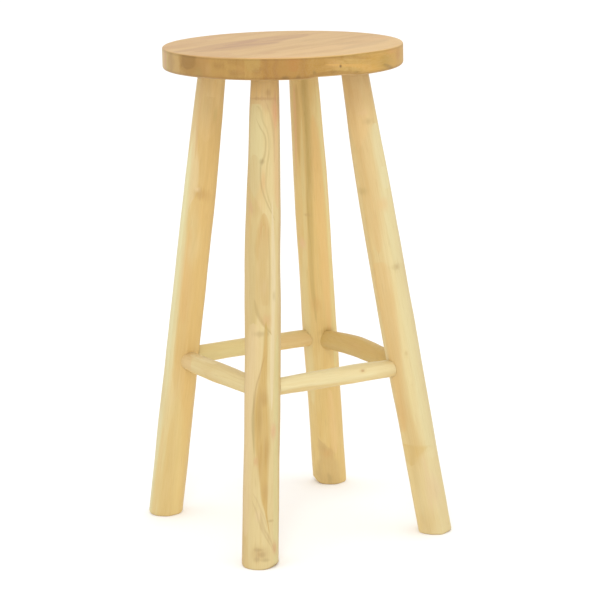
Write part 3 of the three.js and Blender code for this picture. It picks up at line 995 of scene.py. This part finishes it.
BACK_RIGHT_LEG_MARKS = [
    ([(0.4, 228, 8), (0.62, 224, 16), (0.84, 221, 13)], "e2ba7c", 0.7, 0.7),
    ([(0.5, 136, 12), (0.7, 138, 12), (0.8, 136, 8)], "e0c28c", 0.5, 0.7),
    ([(0.44, 182, 4), (0.5, 180, 6), (0.6, 184, 9), (0.7, 190, 11), (0.8, 196, 12), (1, 199, 14)],
     "cbad6e", 0.8, 0.6, 8),
    ([(0.62, 182, 3), (0.68, 183, 4), (0.75, 190, 5), (0.9, 194, 6), (1, 192, 9)],
     "b99c5e", 0.35, 0.9, 8),
    ([(0.8, 160, 5), (0.86, 160, 11), (0.91, 162, 8)], "cfa868", 0.65, 0.8),
    ([(0.78, 146, 4), (0.84, 148, 6), (0.91, 150, 6)], "e0b08a", 0.6),
    ([(0.56, 166, 5), (0.66, 170, 7), (0.76, 172, 7), (0.84, 176, 4)], "e0ca96", 0.7),
    ([(0.3, 246, 6), (0.6, 252, 7), (0.9, 250, 8)], "dfcb92", 0.7),
    ([(0.24, 150, 12), (0.45, 150, 14), (0.55, 156, 8)], "e2d0a0", 0.6, 0.8),
    (0.587, 154, 4.5, 1.5, "e6bd9c", 0.6),
    (0.655, 176, 4, 0.6, "bd9866", 0.35),
    (0.445, 187, 5.5, 1.8, "d4aa6e", 0.5),
    ([(0, 190, 46), (0.04, 190, 45), (0.06, 192, 38), (0.072, 190, 28), (0.09, 187, 24), (0.1, 178, 14),
      (0.11, 171, 8)], "d1b17a", 0.85, 0.4, 12, 0.012),
    (0.1, 172, 7, 0.9, "ccaa74", 0.4),
    (0.084, 192, 8, 0.9, "d0a46c", 0.5),
    (0.045, 176, 5, 2, "d8ba80", 0.6),
    (0.02, 196, 3, 3, "b99e6a", 0.5),
    (0.03, 145, 6, 0.9, "cbb07c", 0.5),
    ([(0.1, 222, 10), (0.15, 220, 13), (0.22, 216, 10)], "e4c08c", 0.6, 0.8, 8, 0.02),
    (0.378, 218, 9, 0.6, "b8944f", 0.6),
]
BACK_LEFT_LEG_MARKS = [
    ([(0.7, 76, 4), (0.735, 84, 15), (0.78, 82, 17), (0.82, 72, 14), (0.88, 63, 10)],
     "e6cda0", 0.75, 0.35, 5, 0.03),
    ([(0.35, 120, 14), (0.6, 126, 18), (0.8, 140, 16)], "deba7c", 0.4, 0.9, 6),
    ([(0.48, 96, 14), (0.56, 90, 16), (0.62, 92, 10)], "e3b77c", 0.35, 0.9, 6),
    ([(0, 146, 11), (0.14, 130, 12), (0.26, 116, 9)], "dfc690", 0.35, 0.7),
    ([(0.84, 78, 5), (0.9, 74, 8), (0.95, 72, 8)], "d8ab76", 0.5, 0.8),
    ([(0.88, 112, 40), (0.94, 112, 64), (1, 112, 70)], "eac68e", 0.5, 0.6, 8),
    ([(0.84, 42, 12), (0.9, 44, 24), (1, 46, 26)], "dfba84", 0.6, 0.8, 5, 0.05),
    ([(0.78, 124, 16), (0.84, 120, 36), (0.88, 118, 36)], "d5b072", 0.4, 0.9, 6, 0.06),
    ([(0.17, 76, 4), (0.21, 82, 12), (0.26, 84, 15), (0.31, 78, 9)], "e8d2a2", 0.6, 0.5, 6),
    ([(0.02, 64, 10), (0.1, 66, 12), (0.17, 68, 8)], "e2be84", 0.6, 0.5, 6),
    ([(0, 112, 60), (0.14, 110, 56), (0.24, 108, 24)], "e2c88c", 0.5, 0.8, 6),
    (0.737, 101, 2.6, 1, "f0d4ac", 0.8),
    (0.729, 114, 9, 0.65, "bf9856", 0.36),
    (0.724, 134, 10, 0.55, "cfa468", 0.35),
    (0.9, 142, 4, 3, "bcaa66", 0.3),
]
LEG_LOOKS = {
    "front_left": {
        "seed": 1, "pith": (200, 0.03, 0), "heart": 0.045, "heartwood": "e2c88f", "bands": 0.15,
        "tint": (0.91, 0.91, 0.87), "seat_shade_depth": 0.3,
        "round_marks": FRONT_LEFT_LEG_MARKS,
    },
    "front_right": {
        "seed": 2, "pith": (205, 0.045, 0.3), "heart": 0.0495, "heart_soft": 0.006, "heartwood": "e8d09a",
        "tint": (0.96, 1.0, 1.01),
        "round_marks": FRONT_RIGHT_LEG_MARKS,
    },
    # The back right leg's tint makes the whole leg lighter: painted light, so that it shows as bright as the
    # front legs despite the shade of the seat and the other legs.
    "back_right": {
        "seed": 3, "pith": (160, 0.03, 0), "heart": 0.05, "heartwood": "dfc083", "bands": 0.3, "inner_side_light": 0,
        "seat_shade_depth": 0.15, "tint": (1.17, 1.24, 1.22),
        "round_marks": BACK_RIGHT_LEG_MARKS,
    },
    "back_left": {
        "seed": 4, "pith": (165, 0.03, 0), "heart": 0.0365, "heart_soft": 0.003, "heart_wave": 0.006,
        "sap": "e9e0b6", "heartwood": "e1be80", "seat_shade_depth": 0, "tint": (1.02, 1.08, 1.08),
        "round_marks": BACK_LEFT_LEG_MARKS,
    },
}
RUNG_LOOK = {
    **LEG_LOOK, "pith": (180, 0.02, 0), "ring": 3.5 * MM, "heart": 0.018, "heart_soft": 0.006, "thick": 0.024,
    "sap": "eedfae", "heartwood": "e5cb93", "bands": 0.25, "sway": 0.005, "seat_shade_depth": 0,
}
FRONT_RUNG_MARKS = [
    # Painted shade: a darker band along the lower front facet of the rung.
    ([(0.1, 136, 26), (0.4, 136, 27), (0.6, 144, 18)], "dfc285", 0.75, 0.25, 12),
    ([(0.5, 70, 14), (0.7, 66, 18), (0.9, 60, 16)], "ead6a2", 0.5, 0.8, 12),
]
BACK_RUNG_MARKS = [
    ([(0, 280, 60), (0.22, 280, 50), (0.4, 280, 20)], "e9c08c", 0.5, 0.9),
    ([(0.5, 250, 50), (0.7, 270, 80), (1, 270, 80)], "e2d09c", 0.5, 0.8),
]
LEFT_RUNG_MARKS = [
    ([(0, 70, 90), (0.1, 70, 80), (0.17, 80, 50)], "e2be86", 0.6, 0.7, 8, 0.03),
    # Painted highlight: a pale streak along the top of the rung, near its first end.
    ([(0.15, 20, 12), (0.3, 24, 16), (0.45, 20, 8)], "f0e0b4", 0.6, 0.7, 6),
]
RUNG_LOOKS = {
    "front": {
        "seed": 31, "tint": (1.02, 1.08, 1.16), "knot": "b07c42", "round_marks": FRONT_RUNG_MARKS,
    },
    "right": {"seed": 32, "sap": "dcbf76", "heartwood": "d3b060"},
    "back": {
        "seed": 33, "sap": "e3c78d", "heartwood": "ddb877", "tint": (1.13, 1.25, 1.28),
        "round_marks": BACK_RUNG_MARKS,
    },
    "left": {
        "seed": 34, "sap": "e5d29b", "heartwood": "dfc88e", "tint": (1.01, 1.03, 1.06),
        "round_marks": LEFT_RUNG_MARKS,
    },
}
SEAT_LOOK = {
    **LEG_LOOK, "ring": 6 * MM, "heart_soft": 0.008, "heart_wave": 0.01, "sway": 0.016, "sway_along": 2.0,
    "sap": "e6c694", "heartwood": "d9b791", "band": "d0a672", "clouds": 0.4, "lines": 0.3, "line": "b98a5a",
    "pore": "a2774a", "end": "f0dcc0", "end_depth": 0.4, "rim": "c8a962", "rim_tone_and_shade": 0.9,
    "rim_dark": "ae8640", "rim_pale": "d6b878", "figure": 0.45, "rough": 0.45, "tint": (0.94, 0.875, 0.69),
}
FRONT_BOARD_RIM_MARKS = [
    ([(0, 139, 11.5), (1, 139, 11.5)], "be9648", 0.9, 0.3),
    ([(0.4, 135, 1.4), (0.6, 135, 2.4), (1, 135, 2.6)], "c48e48", 0.55, 0.9, 3),
    ([(0, 147.5, 0.9), (1, 148, 1.2)], "a98248", 0.4, 0.9, 3),
    ([(0, 143, 0.8), (1, 143.5, 0.9)], "ad8246", 0.4, 0.9, 3),
    ([(0, 130.5, 1.2), (1, 130, 1.4)], "ab844a", 0.4, 0.9, 3),
    ([(0.45, 153.6, 2.6), (0.6, 153.6, 3.2), (1, 153.6, 3.4)], "cbb06c", 0.9, 0.2, 1.5, 0.1),
    (0.4, 152, 3.6, 1.3, "ad884e", 0.45),
    ([(0, 123, 6), (1, 122, 6)], "b8903e", 0.65, 0.8),
    (0.62, 116, 10, 0.6, "d2aa74", 0.5),
    (0.1, 139, 5, 0.4, "866c34", 0.6),
    (0.12, 133, 3, 1, "866c34", 0.5),
    (0.27, 125.5, 2.6, 1.1, "86723c", 0.5),
    (0.25, 116, 4.4, 0.5, "86723c", 0.5),
    (0.17, 104, 5, 0.35, "8f763c", 0.5),
    ([(0.1, 92, 5), (0.28, 95, 6), (0.42, 101, 6), (0.52, 108, 6), (0.6, 116, 3)], "dfb76e", 0.8, 0.6),
    ([(0.72, 98, 4), (0.82, 104, 6), (0.9, 112, 7)], "b08a46", 0.55, 0.7),
    ([(0, 72, 22), (1, 74, 24)], "d6ae56", 0.85, 0.6),
    (0.45, 84, 15, 0.7, "bda04e", 0.6),
    (0.62, 70, 9, 0.9, "c6924a", 0.55),
    (0.86, 78, 14, 0.3, "dcaa68", 0.6),
    ([(0.02, 78, 1.8), (0.15, 80, 2.4), (0.32, 84, 1.4)], "9c8040", 0.6, 0.9),
    (0.5, 112.6, 1.5, 1.2, "7c5c32", 0.9),
    ([(0, 117, 11), (0.2, 117, 11)], "a8823e", 0.6, 0.3, 2, 0.14),
]
FRONT_BOARD_TOP_MARKS = [
    ([(0.1, 128, 20), (0.5, 140, 26), (0.9, 110, 20)], "f0d1a0", 0.6),
    (0.64, 70, 9, 1.8, "cfae80", 0.5),
    (0.9, 62, 9, 1.6, "e4b07a", 0.6),
    ([(0.52, 104, 6), (0.66, 100, 12), (0.8, 92, 8)], "d6b78c", 0.5, 0.8, 12),
    ([(0.06, 70, 30), (0.14, 96, 24), (0.2, 110, 12)], "f0c898", 0.5, 0.8),
]
MIDDLE_BOARD_RIM_MARKS = [
    ([(0, 181, 4.6), (1, 181, 4.6)], "c29e66", 0.6, 0.5),
    ([(0.44, 190.2, 3.8), (0.52, 190, 4.4), (0.75, 189.4, 4.9), (1, 188.8, 5.1)],
     "a58440", 0.95, 0.2, 2.5, 0.12),
    ([(0.15, 189, 3), (0.3, 189, 5), (1, 190, 5)], "b6934e", 0.6, 0.5, 3, 0.15),
    (0.3, 163, 8, 0.6, "ae8c50", 0.6),
    (0.62, 171, 9, 0.6, "b28e50", 0.55),
    (0.45, 176.5, 6, 1.3, "d2b27e", 0.6),
    (0.82, 176, 9, 0.35, "d0aa6a", 0.5),
    (0.8, 162, 9, 0.5, "b4904e", 0.5),
    (0.5, 159, 8, 0.5, "cba668", 0.5),
    (0.16, 170, 10, 0.4, "c8a466", 0.5),
    (0.2, 182, 5, 1.4, "b8a464", 0.5),
]
MIDDLE_BOARD_TOP_MARKS = [
    ([(0.1, -44, 10), (0.2, -38, 20), (0.35, -34, 24), (0.5, -32, 20), (0.62, -38, 14), (0.8, -44, 10)],
     "cfa87e", 0.75, 0.35, 18),
    ([(0.24, -38, 4), (0.36, -34, 10), (0.5, -20, 6)], "bf9674", 0.55, 0.45, 14),
    ([(0.52, -40, 3), (0.6, -34, 6), (0.72, -30, 4)], "c8a27c", 0.5, 0.7, 14),
    ([(0, 0, 40), (0.06, 0, 34), (0.14, 0, 10)], "dcb488", 0.5),
    (0.22, 50, 9, 1.3, "d4a67a", 0.5),
    (0.66, 2, 9, 2, "cfae80", 0.4),
]
BACK_BOARD_RIM_MARKS = [
    ([(0, 203, 6.4), (1, 203, 6.4)], "dcc490", 0.85, 0.3),
    ([(0.1, 205.3, 0.8), (1, 205, 1.2)], "b3946a", 0.4, 0.9, 2),
    ([(0, 211, 1.6), (1, 210.5, 1.6)], "d5c68c", 0.7, 0.5),
    ([(0, 221, 9), (1, 219, 8)], "ead9b6", 0.9, 0.3),
    ([(0, 214.5, 1.8), (1, 214, 1.8)], "ddb69a", 0.7, 0.5),
]
BACK_BOARD_TOP_MARKS = [
    ([(0.08, -60, 8), (0.2, -58, 13), (0.4, -56, 18), (0.6, -56, 13), (0.75, -52, 10), (0.82, -50, 4)],
     "cfa87e", 0.75, 0.35, 18),
    ([(0.34, -52, 4), (0.44, -54, 10), (0.54, -58, 6)], "bf9478", 0.5, 0.45, 14),
    (0.49, -128, 10, 1.2, "dcab8c", 0.5),
    ([(0.1, -110, 14), (0.3, -112, 20), (0.42, -120, 12)], "d4ac84", 0.4, 0.8, 14),
]
SEAT_LOOKS = {
    "front": {
        "seed": 11, "pith": (200, 0.12, 0), "heart": 0.06, "sap": "eccb99",
        "rim_marks": FRONT_BOARD_RIM_MARKS, "top_marks": FRONT_BOARD_TOP_MARKS,
    },
    "middle": {
        "seed": 12, "pith": (170, 0.12, 0), "heart": 0.06, "figure": 0.22,
        "rim_marks": MIDDLE_BOARD_RIM_MARKS, "top_marks": MIDDLE_BOARD_TOP_MARKS,
    },
    "back": {
        "seed": 13, "pith": (190, 0.1, 0), "heart": 0.05,
        "rim_marks": BACK_BOARD_RIM_MARKS, "top_marks": BACK_BOARD_TOP_MARKS,
    },
}
WEDGE_LOOK = {
    **LEG_LOOK, "seed": 21, "sap": "a87848", "heartwood": "9a6a3c", "band": "8a5a30", "heart": 0.5,
}


def finish_piece(piece, node, material):
    piece.data.materials.clear()
    piece.data.materials.append(material)
    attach(piece, "root")
    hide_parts(node)


for name in BOARD_NAMES:
    board = make_board(name)
    axes = grain_axes(along_boards, Z)
    middle = axes @ (Vector(seat_centre) - board.location)
    look = {**SEAT_LOOK, **SEAT_LOOKS[name], "axes": axes, "middle": middle}
    finish_piece(board, f"seat_board_{name}", wood(f"seat_{name}", look))

for name, bar in legs.items():
    own = {"knots": LEG_KNOTS[name], "length": bar.length, "axes": leg_axes(bar)}
    look = {**LEG_LOOK, **LEG_LOOKS[name], **own}
    finish_piece(make_leg(name), f"leg_{name}", wood(f"leg_{name}", look))

for name, bar in rungs.items():
    own = {"knots": RUNG_KNOTS[name], "length": bar.length}
    own["axes"] = grain_axes(bar.end - bar.start, bar.first)
    look = {**RUNG_LOOK, **RUNG_LOOKS[name], **own}
    finish_piece(make_rung(name), f"rung_{name}", wood(f"rung_{name}", look))

wedge_wood = wood("wedge", {**WEDGE_LOOK, "axes": grain_axes(Z, X)})
for name in LEG_NAMES:
    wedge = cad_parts[f"tenon_wedge_{name}"]
    wedge.data.materials.clear()
    wedge.data.materials.append(wedge_wood)

# ---------------------------------------------------------------- camera, light and floor

VIEW_TURN = math.radians(-30.12)
VIEW_PITCH = math.radians(12.494)
VIEW_ROLL = math.radians(-1.2577)
VIEW_BACK = 20 * seat_radius
VIEW_SIDE = 0.0982 * seat_radius
VIEW_HEIGHT = 1.0035
FOCAL_LENGTH = 144.79

camera_data = bpy.data.cameras.new("camera")
camera_data.lens = FOCAL_LENGTH
camera_data.sensor_width = 36
camera_data.clip_end = 100
camera = add_object("camera", camera_data)
turned = Matrix.Rotation(VIEW_TURN, 4, "Z")
spot = turned @ Vector((VIEW_SIDE, -VIEW_BACK, 0)) + Vector((seat_centre[0], seat_centre[1], VIEW_HEIGHT))
camera.matrix_world = (
    Matrix.Translation(spot)
    @ turned
    @ Matrix.Rotation(math.pi / 2 - VIEW_PITCH, 4, "X")
    @ Matrix.Rotation(VIEW_ROLL, 4, "Z")
)
bpy.context.scene.camera = camera

LIGHTS_AIM = Vector((0, 0, 0.35))
BACKDROP_STRENGTH = 1.17


def area_light(name, azimuth, elevation, distance, size, power):
    """A soft square light. Azimuth 0 is in front of the stool and grows towards its right."""
    data = bpy.data.lights.new(name, "AREA")
    data.size = size
    data.energy = power
    light = add_object(name, data)
    a, e = math.radians(azimuth), math.radians(elevation)
    way = Vector((math.sin(a) * math.cos(e), -math.cos(a) * math.cos(e), math.sin(e)))
    light.location = LIGHTS_AIM + distance * way
    light.rotation_euler = way.to_track_quat("Z", "Y").to_euler()


area_light("key", azimuth=-35, elevation=38, distance=2.4, size=0.5, power=9)
area_light("low_fill", azimuth=-30, elevation=10, distance=2.6, size=1.6, power=9)
area_light("right_fill", azimuth=60, elevation=25, distance=2.5, size=1.6, power=3)

world = bpy.data.worlds.new("studio")
world.use_nodes = True
backdrop = world.node_tree.nodes["Background"]
backdrop.inputs["Color"].default_value = (1, 1, 1, 1)
backdrop.inputs["Strength"].default_value = BACKDROP_STRENGTH
bpy.context.scene.world = world
bpy.context.scene.view_settings.view_transform = "Standard"


def make_floor():
    reach = 40
    corners = [(-reach, -reach, 0), (reach, -reach, 0), (reach, reach, 0), (-reach, reach, 0)]
    mesh = bpy.data.meshes.new("floor")
    mesh.from_pydata(corners, [], [(0, 1, 2, 3)])
    floor = add_object("floor", mesh)
    floor.location.z = -0.1 * MM
    g = Graph("floor")
    grain = g.noise(g.node("ShaderNodeTexCoord", output=3), scale=3, detail=3)
    tone = g.mix(grain, (0.93, 0.93, 0.925, 1), (0.95, 0.95, 0.948, 1))
    shader = g.node("ShaderNodeBsdfPrincipled", {"Base Color": tone, "Roughness": 0.9})
    g.node("ShaderNodeOutputMaterial", {"Surface": shader})
    mesh.materials.append(g.material)


make_floor()
